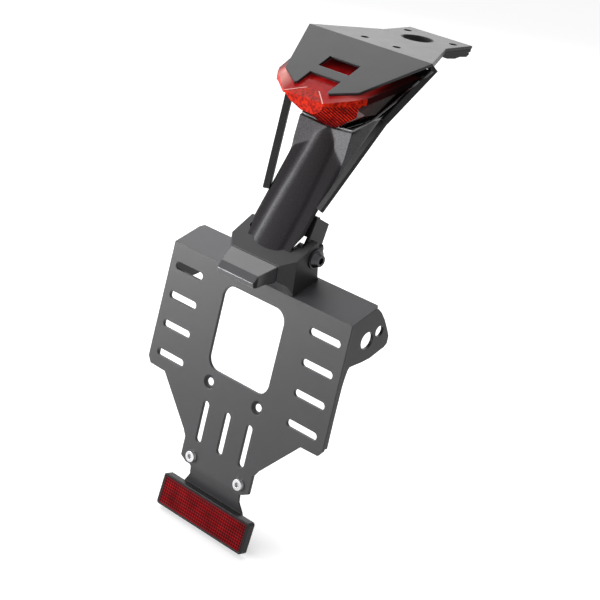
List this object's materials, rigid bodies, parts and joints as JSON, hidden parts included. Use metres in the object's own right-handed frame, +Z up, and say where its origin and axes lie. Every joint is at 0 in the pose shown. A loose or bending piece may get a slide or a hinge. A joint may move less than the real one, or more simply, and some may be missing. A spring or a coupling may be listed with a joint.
{
  "type": "motorcycle tail tidy",
  "caption": "Folded steel tail tidy with hooded tail light, braced neck, angled number-plate holder, plate light and red reflector.",
  "frame": {"origin": "centre of the four mounting holes, on the upper face of the flange", "axes": "+Z up out of the flange, +Y towards the front of the motorcycle, +X towards its right side"},
  "size_m": [0.188, 0.2078, 0.3861],
  "materials": {
    "black_steel": "satin powder coat",
    "red_lens": "clear red, polished",
    "lamp_black": "gloss black",
    "rubber_black": "matt",
    "board": "solder mask",
    "led": "moulded emitter",
    "moulded_black": "fine grain",
    "dark_fastener": "blackened",
    "bright_fastener": "zinc plated",
    "clear_lens": "frosted",
    "reflector_red": "prismatic red"
  },
  "bodies": {
    "root": {"top_plate": "black_steel", "side_bracket": "black_steel", "tail_light_lens": "red_lens", "tail_light_housing": "lamp_black", "cable_sleeve": "rubber_black", "tail_light_board": "board", "tail_light_leds": "led", "arm_cover": "moulded_black", "carrier_arm": "black_steel", "collar_bracket": "black_steel", "pivot_bolts": "dark_fastener", "pivot_washers": "dark_fastener", "pivot_spacers": "dark_fastener", "pivot_nuts": "bright_fastener", "plate_holder": "black_steel", "plate_light_housing": "lamp_black", "plate_light_lens": "clear_lens", "reflector_housing": "moulded_black", "reflector_lens": "reflector_red", "reflector_bracket": "black_steel", "tongue_screws": "bright_fastener", "tongue_nuts": "bright_fastener"}
  },
  "joints": []
}
